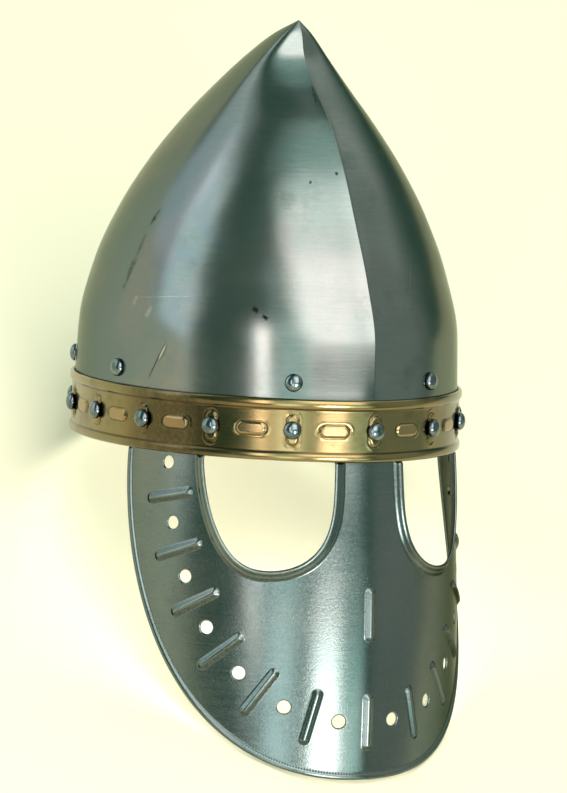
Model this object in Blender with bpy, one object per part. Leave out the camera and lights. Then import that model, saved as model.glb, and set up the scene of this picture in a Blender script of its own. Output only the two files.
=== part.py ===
"""Masked helmet: a pointed steel bowl, a brass brow band and a pierced face plate, all riveted.

The helmet is drawn upright, with its nose towards -Y and the lower edge of the brow band at height 0,
and then leaned back as one to the pose in which it rests by itself: on the chin of the face plate and on
the back of the band.  Lengths are in metres.
"""

import math

import bpy
import numpy as np
from mathutils import Matrix, Vector
from mathutils.geometry import delaunay_2d_cdt

# Brow line, measured on the outer face of the band
HALF_WIDTH = 0.0970
FRONT_REACH = 0.1190
BACK_REACH = 0.1220
NOSE_SPREAD = 1.16
NOSE_ROUND = 0.95
RIVET_COUNT = 16
FACETS_PER_RIVET = 3
CLEARANCE = 0.0003
ON_CORNER = 1e-7

# Brow band
BAND_HEIGHT = 0.0315
BAND_WALL = 0.0010
TOP_BEAD_HEIGHT = 0.0052
TOP_BEAD_PROUD = 0.0012
LOW_BEAD_HEIGHT = 0.0045
LOW_BEAD_PROUD = 0.0010
BOSS_LENGTH = 0.0186
BOSS_WIDTH = 0.0066
BOSS_PROUD = 0.0010
BOSS_SLOPE = 0.0006

# Bowl
SKULL_WALL = 0.0015
SKULL_LIFT = 0.0020
BOWL_RISE = 0.1885
APEX_FORWARD = 0.0216
CENTRE_DRIFT = 1.5
RIDGE_PROUD = 0.0020
BOWL_STEPS = 12
BOWL_SPREAD = 1.35

# Sections of the bowl from the band's top edge to the tip.  rise is a share of BOWL_RISE, and the reaches
# are shares of the brow line's, taken from the line that leads from the brow's centre to the tip.
BOWL_ROWS = (
    # rise, half_width, front_reach, back_reach, ridge
    (0.000, 1.000, 1.000, 1.000, 0.0),
    (0.150, 0.989, 0.977, 1.002, 0.6),
    (0.310, 0.922, 0.864, 0.967, 1.0),
    (0.470, 0.797, 0.705, 0.880, 1.0),
    (0.602, 0.643, 0.562, 0.784, 1.0),
    (0.725, 0.467, 0.392, 0.649, 1.0),
    (0.831, 0.305, 0.195, 0.472, 0.9),
    (0.910, 0.177, 0.080, 0.308, 0.6),
    (0.963, 0.084, 0.042, 0.161, 0.3),
)

# Face plate, drawn flat: side is measured along the brow line from the nose, drop down from the band
MASK_WALL = 0.0015
MASK_HALF = 0.1420
MASK_DROP = 0.1614
MASK_SIDE_POWER = 2.41
MASK_DROP_POWER = 1.59
MASK_LAP = 0.0255
MASK_BULGE = 0.0075
BULGE_DROP = 0.1450
MASK_ROW = 0.0230
ROLL_WIDTH = 0.0036
ROLL_PROUD = 0.0011

# Eye openings
EYE_SIDE = 0.0525
EYE_TO_NOSE = 0.0322
EYE_TO_TEMPLE = 0.0368
EYE_DROP = 0.0557
EYE_TOP = 0.0060
NOSE_SIDE_POWERS = (2.00, 3.90)
TEMPLE_SIDE_POWERS = (2.44, 1.45)
LIP_WIDTH = 0.0055
LIP_PROUD = 0.0026
LIP_FADE = 0.0013

# Row of holes and ribs along the rolled edge
ROW_INSET = 0.0295
ROW_PITCH = 0.0141
HOLE_DIAMETER = 0.0066
HOLE_SIDES = 8
TOP_HOLE_DROP = 0.0055
RIB_PAIRS = 6
RIB_LENGTH = 0.0290
RIB_WIDTH = 0.0054
RIB_PROUD = 0.0014
NOSE_RIB_DROP = 0.0773
NOSE_RIB_LENGTH = 0.0274

# Rivets
RIVET_HEAD = 0.0092
RIVET_HEIGHT = 0.0032
SHANK = 0.0036
SHANK_FIT = 0.0003
INNER_HEAD = 0.0064
INNER_HEAD_HEIGHT = 0.0010
RIVET_SIDES = 10
SKULL_RIVET_LIFT = 0.0080

# Places of the bowl's own rivets, as shares of the brow line's length from the nose
SKULL_RIVET_SHARES = (-0.349, -0.224, -0.0625, 0.0625, 0.224, 0.349, 0.5)

# Colours as red, green, blue, with roughness; every piece is metal
FINISHES = {
    "skull_steel": ((0.42, 0.45, 0.44), 0.32),
    "band_brass": ((0.62, 0.45, 0.18), 0.26),
    "mask_steel": ((0.34, 0.38, 0.39), 0.30),
    "rivet_steel": ((0.40, 0.43, 0.45), 0.20),
}

# Insets from the band's outer face to the faces behind it
SKULL_OUTER = BAND_WALL + CLEARANCE
SKULL_INNER = SKULL_OUTER + SKULL_WALL
MASK_OUTER = SKULL_INNER + CLEARANCE
MASK_INNER = MASK_OUTER + MASK_WALL

OUTSIDE, INSIDE = 0, 1
KEY_DIGITS = 6


def brow_point(turn):
    """Points of the brow line at angles turn, 0 at the nose."""
    sine, cosine = np.sin(turn), np.cos(turn)
    front = cosine > 0.0
    side = np.where(front, np.abs(sine) ** NOSE_SPREAD, np.abs(sine)) * np.sign(sine)
    reach = np.where(front, -FRONT_REACH * np.abs(cosine) ** NOSE_ROUND, BACK_REACH * np.abs(cosine))
    return np.stack([HALF_WIDTH * side, reach], axis=-1)


def measure_brow():
    """The brow line's length, and its facet corners as lengths along it and as angles."""
    turn = np.linspace(0.0, math.pi, 3001)
    along = np.concatenate([[0.0], np.cumsum(np.linalg.norm(np.diff(brow_point(turn), axis=0), axis=1))])
    facets = RIVET_COUNT * FACETS_PER_RIVET
    length = 2.0 * along[-1]
    sides = (np.arange(facets + 1) + 0.5) * length / facets - length / 2.0
    beyond = np.where(sides > length / 2.0, sides - length, sides)
    turns = np.sign(beyond) * np.interp(np.abs(beyond), along, turn)
    return length, sides, turns


BROW_LENGTH, CORNER_SIDES, CORNER_TURNS = measure_brow()
FACET = BROW_LENGTH / (RIVET_COUNT * FACETS_PER_RIVET)


def corner_ways(corners):
    """At each facet corner, the way to move it so that both its facets move outwards by one."""
    run = np.diff(corners, axis=0)
    normal = np.stack([run[:, 1], -run[:, 0]], axis=-1) / np.linalg.norm(run, axis=1)[:, None]
    after = np.concatenate([normal, normal[:1]])
    before = np.concatenate([normal[-1:], normal])
    return (after + before) / (1.0 + (after * before).sum(-1))[:, None]


CORNERS = brow_point(CORNER_TURNS)
CORNER_WAYS = corner_ways(CORNERS)


def facet_of(side):
    """Which facet each side lies on, and how far across it, from 0 to 1."""
    across = (np.asarray(side, float) - CORNER_SIDES[0]) / FACET
    index = np.clip(np.floor(across + ON_CORNER).astype(int), 0, len(CORNER_SIDES) - 2)
    return index, across - index


def on_facets(side, inset):
    """Points of the faceted brow line at lengths side along it, drawn in by inset."""
    index, across = facet_of(side)
    across = across[..., None]
    point = CORNERS[index] * (1.0 - across) + CORNERS[index + 1] * across
    way = CORNER_WAYS[index] * (1.0 - across) + CORNER_WAYS[index + 1] * across
    return point - np.asarray(inset, float)[..., None] * way


def upright(flat, height):
    """Join flat points and their heights."""
    return np.concatenate([flat, np.broadcast_to(height, flat.shape[:-1])[..., None]], axis=-1)


def evenly(points, step):
    """The same line with its points about step apart, its two ends kept."""
    points = np.asarray(points, float)
    along = np.concatenate([[0.0], np.cumsum(np.linalg.norm(np.diff(points, axis=0), axis=1))])
    count = max(2, int(round(along[-1] / step)) + 1)
    wanted = np.linspace(0.0, along[-1], count)
    return np.stack([np.interp(wanted, along, points[:, k]) for k in (0, 1)], axis=-1)


def beside(points, distance):
    """The line moved distance to its left."""
    step = np.gradient(np.asarray(points, float), axis=0)
    step /= np.linalg.norm(step, axis=1)[:, None]
    return points + distance * np.stack([-step[:, 1], step[:, 0]], axis=-1)


def away_from(places, line):
    """Distance of each place from the nearest piece of a line."""
    start, run = line[:-1], np.diff(line, axis=0)
    gap = places[:, None, :] - start[None]
    share = np.clip((gap * run).sum(-1) / np.maximum((run * run).sum(-1), 1e-18), 0.0, 1.0)
    return np.linalg.norm(gap - share[..., None] * run, axis=-1).min(axis=1)


def ring(centre, radius, count):
    """Corners of a round loop."""
    turn = (np.arange(count) + 0.5) * 2.0 * math.pi / count
    return np.asarray(centre) + radius * np.stack([np.cos(turn), np.sin(turn)], axis=-1)


def capsule(middle, direction, length, width, corners=3):
    """Loop round a straight bar with rounded ends."""
    direction = np.asarray(direction, float) / np.linalg.norm(direction)
    across = np.array([-direction[1], direction[0]])
    turn = np.linspace(-math.pi / 2.0, math.pi / 2.0, corners + 1)
    cap = np.cos(turn)[:, None] * direction + np.sin(turn)[:, None] * across
    reach = (length - width) / 2.0 * direction
    return np.concatenate([middle + reach + cap * width / 2.0, middle - reach - cap * width / 2.0])


def bar(middle, direction, length, width):
    """Middle line of such a bar."""
    reach = (length - width) / 2.0 * np.asarray(direction, float) / np.linalg.norm(direction)
    return np.array([middle - reach, middle + reach])


def within(places, loop):
    """Whether each place is inside a loop."""
    hit = np.zeros(len(places), bool)
    for (ax, ay), (bx, by) in zip(loop, np.roll(loop, -1, axis=0)):
        if ay != by:
            crosses = (ay > places[:, 1]) != (by > places[:, 1])
            hit ^= crosses & (places[:, 0] < (bx - ax) * (places[:, 1] - ay) / (by - ay) + ax)
    return hit


def triangulate(outline, holes, loops=(), lines=(), points=()):
    """Triangles of a flat outline with holes, which follow the given loops and lines."""
    places, edges = [], []
    for chain, closed in [(outline, True)] + [(h, True) for h in holes] + [(c, True) for c in loops] \
            + [(c, False) for c in lines]:
        first = len(places)
        places.extend(Vector(p) for p in chain)
        edges.extend((first + i, first + i + 1) for i in range(len(chain) - 1))
        if closed:
            edges.append((len(places) - 1, first))
    places.extend(Vector(p) for p in points)
    found = delaunay_2d_cdt(places, edges, [], 0, ON_CORNER, False)
    corners = np.array([tuple(v) for v in found[0]])
    triangles = np.array([tuple(f) for f in found[2] if len(f) == 3])
    middles = corners[triangles].mean(axis=1)
    keep = within(middles, outline)
    for hole in holes:
        keep &= ~within(middles, hole)
    triangles = triangles[keep]
    a, b, c = (corners[triangles[:, k]] for k in range(3))
    turned = (b[:, 0] - a[:, 0]) * (c[:, 1] - a[:, 1]) < (b[:, 1] - a[:, 1]) * (c[:, 0] - a[:, 0])
    triangles[turned] = triangles[turned][:, ::-1]
    used, triangles = np.unique(triangles, return_inverse=True)
    return corners[used], triangles.reshape(-1, 3)


def sheet(name, outer_net, inner_net, place, finish, tip=None):
    """A sheet metal piece: two nets laid on its outer and inner faces, joined along every edge.

    A net that runs once round the brow closes on itself.  tip gives the outer and inner points that
    close such a net at its upper edge.
    """
    points, faces, borders = [], [], []
    for layer, (corners, triangles) in ((OUTSIDE, outer_net), (INSIDE, inner_net)):
        placed = place(corners[:, 0], corners[:, 1], layer)
        wrapped = np.where(corners[:, 0] > CORNER_SIDES[-1] - 1e-6, CORNER_SIDES[0], corners[:, 0])
        index, keys = {}, []
        for side, drop, point in zip(wrapped, corners[:, 1], placed):
            key = (round(side, KEY_DIGITS), round(drop, KEY_DIGITS))
            if key not in index:
                index[key] = len(points)
                points.append(tuple(point))
            keys.append(key)
        directed = {}
        for face in triangles.tolist():
            names = [keys[i] for i in face]
            ids = [index[k] for k in names]
            faces.append(ids if layer == OUTSIDE else ids[::-1])
            for start, end in zip(names, names[1:] + names[:1]):
                directed[(start, end)] = (index[start], index[end])
        borders.append({pair: ids for pair, ids in directed.items() if pair[::-1] not in directed})
    tips = []
    if tip is not None:
        top = max(start[1] for start, _ in borders[OUTSIDE])
        tips = [len(points), len(points) + 1]
        points.extend(tuple(p) for p in tip)
    for (start, end), (outer_a, outer_b) in borders[OUTSIDE].items():
        inner_a, inner_b = borders[INSIDE][(start, end)]
        if tips and start[1] == top and end[1] == top:
            faces.append([outer_b, outer_a, tips[OUTSIDE]])
            faces.append([inner_a, inner_b, tips[INSIDE]])
        else:
            faces.append([outer_b, outer_a, inner_a, inner_b])
    mesh = bpy.data.meshes.new(name)
    mesh.from_pydata(points, [], faces)
    return add_piece(name, mesh, finish)


def add_piece(name, mesh, finish):
    """An object with its material, shaded smooth over its gentle edges."""
    mesh.materials.append(finish_material(finish))
    mesh.update()
    mesh.shade_smooth()
    mesh.set_sharp_from_angle(angle=math.radians(30.0))
    piece = bpy.data.objects.new(name, mesh)
    bpy.context.scene.collection.objects.link(piece)
    return piece


def finish_material(name):
    """The named metal finish."""
    material = bpy.data.materials.get(name)
    if material is None:
        colour, roughness = FINISHES[name]
        material = bpy.data.materials.new(name)
        material.use_nodes = True
        shader = material.node_tree.nodes["Principled BSDF"]
        shader.inputs["Base Color"].default_value = (*colour, 1.0)
        shader.inputs["Roughness"].default_value = roughness
        shader.inputs["Metallic"].default_value = 1.0
    return material


def shank_loops(places):
    """Round holes that the rivet shanks pass through."""
    return [ring(place, SHANK / 2.0 + SHANK_FIT, HOLE_SIDES) for place in places]


def band_places():
    """Where the band's rivets go: the first at the nose, then in turn round the brow."""
    steps = np.arange(RIVET_COUNT)
    sides = np.where(steps > RIVET_COUNT // 2, steps - RIVET_COUNT, steps) * BROW_LENGTH / RIVET_COUNT
    return [(side, BAND_HEIGHT / 2.0) for side in sides]


def skull_places():
    """Where the bowl's own rivets go."""
    return [(share * BROW_LENGTH, BAND_HEIGHT + SKULL_RIVET_LIFT) for share in SKULL_RIVET_SHARES]


def all_round(low, high):
    """Outline of a sheet that runs once round the brow, cornered at every facet."""
    sides = CORNER_SIDES
    return np.concatenate([np.stack([sides, np.full(len(sides), low)], axis=-1),
                           np.stack([sides[::-1], np.full(len(sides), high)], axis=-1)])


def facet_lines(low, high, rows=()):
    """Lines along the facet corners, and along the given heights."""
    lines = [np.array([(side, low), (side, high)]) for side in CORNER_SIDES[1:-1]]
    return lines + [np.array([(CORNER_SIDES[0], row), (CORNER_SIDES[-1], row)]) for row in rows]


def boss_bars():
    """The band's bosses: upright under each rivet, level between each two."""
    half_step = BROW_LENGTH / RIVET_COUNT / 2.0
    bars = []
    for side, height in band_places():
        bars.append((np.array([side, height]), (0.0, 1.0)))
        bars.append((np.array([side - half_step, height]), (1.0, 0.0)))
    return bars


BAND_HEIGHTS = (0.0, 0.3 * LOW_BEAD_HEIGHT, 0.7 * LOW_BEAD_HEIGHT, LOW_BEAD_HEIGHT,
                BAND_HEIGHT - TOP_BEAD_HEIGHT, BAND_HEIGHT - 0.7 * TOP_BEAD_HEIGHT,
                BAND_HEIGHT - 0.3 * TOP_BEAD_HEIGHT, BAND_HEIGHT)
BAND_RELIEF = (0.5 * LOW_BEAD_PROUD, LOW_BEAD_PROUD, LOW_BEAD_PROUD, 0.0,
               0.0, TOP_BEAD_PROUD, TOP_BEAD_PROUD, 0.5 * TOP_BEAD_PROUD)


def band_point(side, height, layer):
    """Points of the brow band, with its beads and bosses on the outer face."""
    if layer == INSIDE:
        return upright(on_facets(side, BAND_WALL), height)
    places = np.stack([side, height], axis=-1)
    proud = np.interp(height, BAND_HEIGHTS, BAND_RELIEF)
    for middle, direction in boss_bars():
        away = away_from(places, bar(middle, direction, BOSS_LENGTH, BOSS_WIDTH))
        rise = np.interp(away, [BOSS_WIDTH / 2.0 - BOSS_SLOPE, BOSS_WIDTH / 2.0], [BOSS_PROUD, 0.0])
        proud = np.maximum(proud, np.where(away < BOSS_WIDTH / 2.0, rise, 0.0))
    return upright(on_facets(side, -proud), height)


def make_band():
    """The brow band, pierced for its rivets."""
    outline, holes = all_round(0.0, BAND_HEIGHT), shank_loops(band_places())
    loops = []
    for middle, direction in boss_bars():
        loops.append(capsule(middle, direction, BOSS_LENGTH, BOSS_WIDTH))
        shrink = 2.0 * BOSS_SLOPE
        loops.append(capsule(middle, direction, BOSS_LENGTH - shrink, BOSS_WIDTH - shrink))
    outer = triangulate(outline, holes, loops, facet_lines(0.0, BAND_HEIGHT, BAND_HEIGHTS[1:-1]))
    inner = triangulate(outline, holes, (), facet_lines(0.0, BAND_HEIGHT))
    return sheet("brow_band", outer, inner, band_point, "band_brass")


def column(number, rise):
    """A column of the bowl's table, read smoothly at the given rises."""
    table = np.array(BOWL_ROWS)
    known = np.append(table[:, 0], 1.0)
    value = np.append(table[:, number], 0.0)
    slope = np.diff(value) / np.diff(known)
    ahead, behind = slope[1:], slope[:-1]
    level = ahead * behind > 0.0
    middle = np.where(level, 2.0 * ahead * behind / np.where(level, ahead + behind, 1.0), 0.0)
    tangent = np.concatenate([[slope[0]], middle, [slope[-1]]])
    i = np.clip(np.searchsorted(known, rise, side="right") - 1, 0, len(slope) - 1)
    width = known[i + 1] - known[i]
    u = (rise - known[i]) / width
    return value[i] * (1 + 2 * u) * (1 - u) ** 2 + tangent[i] * width * u * (1 - u) ** 2 \
        + value[i + 1] * u * u * (3 - 2 * u) - tangent[i + 1] * width * u * u * (1 - u)


def bowl_section(turn, rise, nose):
    """Points of the bowl's outer face on sections at the given rises; nose marks the ridge line."""
    half = (HALF_WIDTH - SKULL_OUTER) * column(1, rise)
    front = (FRONT_REACH - SKULL_OUTER) * column(2, rise)
    back = (BACK_REACH - SKULL_OUTER) * column(3, rise)
    ridge = RIDGE_PROUD * column(4, rise)
    centre = -APEX_FORWARD * rise ** CENTRE_DRIFT
    sine, cosine = np.sin(turn), np.cos(turn)
    ahead = cosine > 0.0
    side = np.where(ahead, np.abs(sine) ** NOSE_SPREAD, np.abs(sine)) * np.sign(sine) * half
    reach = np.where(ahead, -(front - ridge) * np.abs(cosine) ** NOSE_ROUND, back * np.abs(cosine))
    reach = np.where(nose, -front, reach)
    return np.stack([side, centre + reach, BAND_HEIGHT + rise * BOWL_RISE], axis=-1)


def skull_grid():
    """The bowl's corner points as rows and columns, outside and inside, and their heights and sides."""
    rises = 1.0 - (1.0 - np.linspace(0.0, 1.0, BOWL_STEPS + 1)[1:-1]) ** BOWL_SPREAD
    sides = np.sort(np.append(CORNER_SIDES, 0.0))
    nose = np.isclose(sides, 0.0)
    turns = np.zeros(len(sides))
    turns[~nose] = CORNER_TURNS
    heights = np.concatenate([[SKULL_LIFT, BAND_HEIGHT], BAND_HEIGHT + rises * BOWL_RISE])
    wall = [upright(on_facets(sides, SKULL_OUTER), h) for h in heights[:2]]
    bowl = [bowl_section(turns, np.full(len(sides), rise), nose) for rise in rises]
    outside = np.array(wall + bowl)
    along = np.roll(outside[:, :-1], -1, axis=1) - np.roll(outside[:, :-1], 1, axis=1)
    up = np.gradient(outside, axis=0)[:, :-1]
    normal = np.cross(along, up)
    normal /= np.linalg.norm(normal, axis=-1)[..., None]
    normal = np.concatenate([normal, normal[:, :1]], axis=1)
    inside = outside - SKULL_WALL * normal
    for row, height in enumerate(heights[:2]):
        inside[row] = upright(on_facets(sides, SKULL_INNER), height)
    return np.array([outside, inside]), heights, sides


SKULL_GRID, SKULL_HEIGHTS, SKULL_SIDES = skull_grid()


def skull_point(side, height, layer):
    """Points of the bowl, read from its grid."""
    row = np.clip(np.searchsorted(SKULL_HEIGHTS, height + ON_CORNER) - 1, 0, len(SKULL_HEIGHTS) - 2)
    col = np.clip(np.searchsorted(SKULL_SIDES, side + ON_CORNER) - 1, 0, len(SKULL_SIDES) - 2)
    v = ((height - SKULL_HEIGHTS[row]) / (SKULL_HEIGHTS[row + 1] - SKULL_HEIGHTS[row]))[..., None]
    u = ((side - SKULL_SIDES[col]) / (SKULL_SIDES[col + 1] - SKULL_SIDES[col]))[..., None]
    grid = SKULL_GRID[layer]
    low = grid[row, col] * (1.0 - u) + grid[row, col + 1] * u
    high = grid[row + 1, col] * (1.0 - u) + grid[row + 1, col + 1] * u
    return low * (1.0 - v) + high * v


TIP_THICK = 2.0 * SKULL_WALL


def make_skull():
    """The bowl, pierced for every rivet and closed at its tip."""
    low, high = SKULL_HEIGHTS[0], SKULL_HEIGHTS[-1]
    holes = shank_loops(band_places() + skull_places())
    ridge = [np.array([(0.0, SKULL_HEIGHTS[1]), (0.0, high)])]
    lines = facet_lines(low, high, SKULL_HEIGHTS[1:-1]) + ridge
    net = triangulate(all_round(low, high), holes, (), lines)
    tip = np.array([0.0, -APEX_FORWARD, BAND_HEIGHT + BOWL_RISE])
    inner_tip = tip - (0.0, 0.0, TIP_THICK)
    return sheet("skull", net, net, skull_point, "skull_steel", tip=(tip, inner_tip))


def mask_edge(inset=0.0):
    """The plate's outer edge as a line: down its right side, round the chin and up its left side."""
    turn = np.linspace(0.0, math.pi / 2.0, 400)
    half = np.stack([MASK_HALF * np.cos(turn) ** (2.0 / MASK_SIDE_POWER),
                     -MASK_DROP * np.sin(turn) ** (2.0 / MASK_DROP_POWER)], axis=-1)
    half = np.concatenate([[(MASK_HALF, MASK_LAP)], half])
    left = half[::-1]
    right = half * (-1.0, 1.0)
    line = np.concatenate([right, left[1:]])
    return beside(evenly(line, OUTLINE_STEP), inset)


def chin_first(line, step):
    """The line with points about step apart, a flat step centred on the nose and none above the lap."""
    line = line[line[:, 1] < MASK_LAP - 1e-9]
    right = line[line[:, 0] < -FACET / 2.0]
    chin = np.array([np.interp(-FACET / 2.0, line[:, 0], line[:, 0]),
                     np.interp(-FACET / 2.0, line[:, 0], line[:, 1])])
    top = np.array([right[0, 0], MASK_LAP])
    half = evenly(np.concatenate([[top], right, [chin]]), step)
    return np.concatenate([half, half[::-1] * (-1.0, 1.0)])


def eye_edge(hand, away=0.0):
    """The U of an eye opening, from its nose side down and round to its temple side; hand is -1 or 1."""
    turn = np.linspace(0.0, math.pi / 2.0, 300)
    nose_side, nose_drop = NOSE_SIDE_POWERS
    temple_side, temple_drop = TEMPLE_SIDE_POWERS
    nose = np.stack([EYE_SIDE - EYE_TO_NOSE * np.cos(turn) ** (2.0 / nose_side),
                     -EYE_DROP * np.sin(turn) ** (2.0 / nose_drop)], axis=-1)
    temple = np.stack([EYE_SIDE + EYE_TO_TEMPLE * np.cos(turn) ** (2.0 / temple_side),
                       -EYE_DROP * np.sin(turn) ** (2.0 / temple_drop)], axis=-1)[::-1]
    line = np.concatenate([[(nose[0, 0], EYE_TOP)], nose, temple[1:], [(temple[-1, 0], EYE_TOP)]])
    line = beside(evenly(line, EYE_LINE_STEP), -away)
    line[[0, -1], 1] = EYE_TOP
    return line * (hand, 1.0)


def row_line():
    """The line that the holes and ribs stand on, from the nose to one side."""
    line = mask_edge(ROW_INSET)
    return line[(line[:, 0] >= 0.0) & (line[:, 1] < 0.0)]


def stations():
    """Places and outward directions along the row, one for each rib and hole from the nose outwards."""
    line = row_line()
    along = np.concatenate([[0.0], np.cumsum(np.linalg.norm(np.diff(line, axis=0), axis=1))])
    outward = np.gradient(line, axis=0)
    outward = np.stack([outward[:, 1], -outward[:, 0]], axis=-1)
    outward /= np.linalg.norm(outward, axis=1)[:, None]
    wanted = np.arange(2 * RIB_PAIRS + 2) * ROW_PITCH
    places = np.stack([np.interp(wanted, along, line[:, k]) for k in (0, 1)], axis=-1)
    ways = np.stack([np.interp(wanted, along, outward[:, k]) for k in (0, 1)], axis=-1)
    top = int(np.argmin(np.abs(line[:, 1] + TOP_HOLE_DROP)))
    places[-1] = line[top]
    return places, ways


def both_sides(place):
    """A place and its mirror image."""
    return [np.array(place), np.array(place) * (-1.0, 1.0)]


def mask_holes():
    """Middles of the round holes."""
    places, _ = stations()
    return [p for place in places[1::2] for p in both_sides(place)]


def mask_ribs():
    """Middle, direction and length of every rib."""
    places, ways = stations()
    ribs = [(np.array([0.0, -NOSE_RIB_DROP]), np.array([0.0, 1.0]), NOSE_RIB_LENGTH),
            (places[0] * (0.0, 1.0), np.array([0.0, 1.0]), RIB_LENGTH)]
    for place, way in zip(places[2:-1:2], ways[2:-1:2]):
        ribs += [(p, w, RIB_LENGTH) for p, w in zip(both_sides(place), both_sides(way))]
    return ribs


OUTLINE_STEP = 0.001
EYE_LINE_STEP = 0.0007
RELIEF_STEP = 0.002
EDGE_CUT = 0.011
EYE_CUT = 0.0095
ROLL_STEPS = (0.3 * ROLL_WIDTH, 0.7 * ROLL_WIDTH, ROLL_WIDTH)
LIP_STEPS = (0.0, 0.25 * LIP_WIDTH, 0.6 * LIP_WIDTH, LIP_WIDTH)
LIP_RELIEF = (LIP_PROUD, LIP_PROUD, 0.4 * LIP_PROUD, 0.0)


def mask_point(side, drop, layer):
    """Points of the face plate: bulged below the band, with lips, ribs and a rolled edge."""
    places = np.stack([side, drop], axis=-1)
    below = np.minimum(drop, 0.0)
    bulge = MASK_BULGE * (1.0 - (1.0 + below / BULGE_DROP) ** 2)
    fade = np.clip((SKULL_LIFT - drop) / (SKULL_LIFT + LIP_FADE), 0.0, 1.0)
    proud = np.zeros(len(places))
    for hand in (-1.0, 1.0):
        away = away_from(places, evenly(eye_edge(hand), RELIEF_STEP))
        proud = np.maximum(proud, fade * np.interp(away, LIP_STEPS, LIP_RELIEF))
    for middle, way, length in mask_ribs():
        away = away_from(places, bar(middle, way, length, RIB_WIDTH))
        proud = np.maximum(proud, np.interp(away, [0.15 * RIB_WIDTH, 0.5 * RIB_WIDTH], [RIB_PROUD, 0.0]))
    away = away_from(places, evenly(mask_edge(), RELIEF_STEP))
    roll = fade * np.interp(away, [0.0, *ROLL_STEPS], [0.4 * ROLL_PROUD, ROLL_PROUD, ROLL_PROUD, 0.0])
    inset = MASK_OUTER - bulge - proud - roll if layer == OUTSIDE else MASK_INNER - bulge - proud + roll
    return upright(on_facets(side, inset), drop)


def through_mask(place):
    """Whether a rivet of the band also goes through the face plate, even if only through its edge."""
    return abs(place[0]) < MASK_HALF + SHANK / 2.0 + SHANK_FIT


def make_mask():
    """The face plate, with its openings, lips, ribs, holes and rolled edge."""
    outline = chin_first(mask_edge(), EDGE_CUT)
    behind = [place for place in band_places() if through_mask(place)]
    holes = shank_loops(behind)
    holes += [ring(middle, HOLE_DIAMETER / 2.0, HOLE_SIDES) for middle in mask_holes()]
    holes += [evenly(eye_edge(hand), EYE_CUT) for hand in (-1.0, 1.0)]
    lines = [chin_first(mask_edge(step), EDGE_CUT) for step in ROLL_STEPS]
    for hand in (-1.0, 1.0):
        lines += [evenly(eye_edge(hand, step), EYE_CUT) for step in LIP_STEPS[1:]]
    loops = []
    for middle, way, length in mask_ribs():
        loops.append(capsule(middle, way, length, RIB_WIDTH, corners=2))
        lines.append(bar(middle, way, length, RIB_WIDTH))
    rows = np.arange(-MASK_DROP, MASK_LAP, MASK_ROW)[1:]
    corners = CORNER_SIDES[np.abs(CORNER_SIDES) < MASK_HALF]
    lines += [np.array([(side, -MASK_DROP), (side, MASK_LAP)]) for side in corners]
    lines += [np.array([(-MASK_HALF, drop), (MASK_HALF, drop)]) for drop in (SKULL_LIFT, -LIP_FADE)]
    points = [(side, row) for side in corners for row in rows]
    net = triangulate(outline, holes, loops, lines, points)
    return sheet("face_mask", net, net, mask_point, "mask_steel")


def rivet_mesh(name, grip):
    """A domed rivet along +Z: its head's seat is at height 0 and its inner head grip below."""
    head, shank, inner = RIVET_HEAD / 2.0, SHANK / 2.0, INNER_HEAD / 2.0
    outline = [(0.60 * head, 0.88 * RIVET_HEIGHT), (0.92 * head, 0.45 * RIVET_HEIGHT), (head, 0.0),
               (shank, 0.0), (shank, -grip), (inner, -grip)]
    turn = np.arange(RIVET_SIDES) * 2.0 * math.pi / RIVET_SIDES
    points = [(r * math.cos(a), r * math.sin(a), z) for r, z in outline for a in turn]
    top, bottom = len(points), len(points) + 1
    points += [(0.0, 0.0, RIVET_HEIGHT), (0.0, 0.0, -grip - INNER_HEAD_HEIGHT)]
    faces = []
    last = (len(outline) - 1) * RIVET_SIDES
    for i in range(RIVET_SIDES):
        j = (i + 1) % RIVET_SIDES
        faces.append([top, i, j])
        faces.append([bottom, last + j, last + i])
        for row in range(0, last, RIVET_SIDES):
            faces.append([row + i, row + RIVET_SIDES + i, row + RIVET_SIDES + j, row + j])
    mesh = bpy.data.meshes.new(name)
    mesh.from_pydata(points, [], faces)
    return mesh


UP_STEP = 0.002


def seat_at(place, point):
    """Seat and outward direction of a rivet, on the facet of a sheet that it goes through."""
    side, height = place
    index, _ = facet_of(side)
    step = FACET / 4.0
    middle = 0.5 * (CORNER_SIDES[index] + CORNER_SIDES[index + 1])
    spots = np.array([(side, height), (middle - step, height), (middle + step, height),
                      (side, height + UP_STEP)])
    seat, left, right, above = point(spots[:, 0], spots[:, 1])
    outward = np.cross(right - left, above - seat)
    return Vector(seat), Vector(outward / np.linalg.norm(outward))


def make_rivet(name, mesh, seat, outward):
    """A rivet with its head's seat just off the given point."""
    piece = add_piece(name, mesh, "rivet_steel")
    turn = outward.to_track_quat("Z", "Y").to_matrix().to_4x4()
    piece.matrix_world = Matrix.Translation(seat + outward * CLEARANCE) @ turn
    return piece


def make_rivets():
    """Every rivet: the band's, from the nose round, and the bowl's own."""
    skull_stack = SKULL_INNER + BOSS_PROUD + 2.0 * CLEARANCE
    mask_stack = MASK_INNER + BOSS_PROUD + 2.0 * CLEARANCE
    meshes = {"band": rivet_mesh("band_rivet", skull_stack),
              "mask": rivet_mesh("mask_rivet", mask_stack),
              "skull": rivet_mesh("skull_rivet", SKULL_WALL + 2.0 * CLEARANCE)}
    rivets = []
    for number, place in enumerate(band_places(), 1):
        seat, outward = seat_at(place, lambda s, h: upright(on_facets(s, -BOSS_PROUD), h))
        mesh = meshes["mask" if through_mask(place) else "band"]
        rivets.append(make_rivet(f"band_rivet_{number:02d}", mesh, seat, outward))
    for number, place in enumerate(skull_places(), 1):
        seat, outward = seat_at(place, lambda s, h: skull_point(s, h, OUTSIDE))
        rivets.append(make_rivet(f"skull_rivet_{number:02d}", meshes["skull"], seat, outward))
    return rivets


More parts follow.
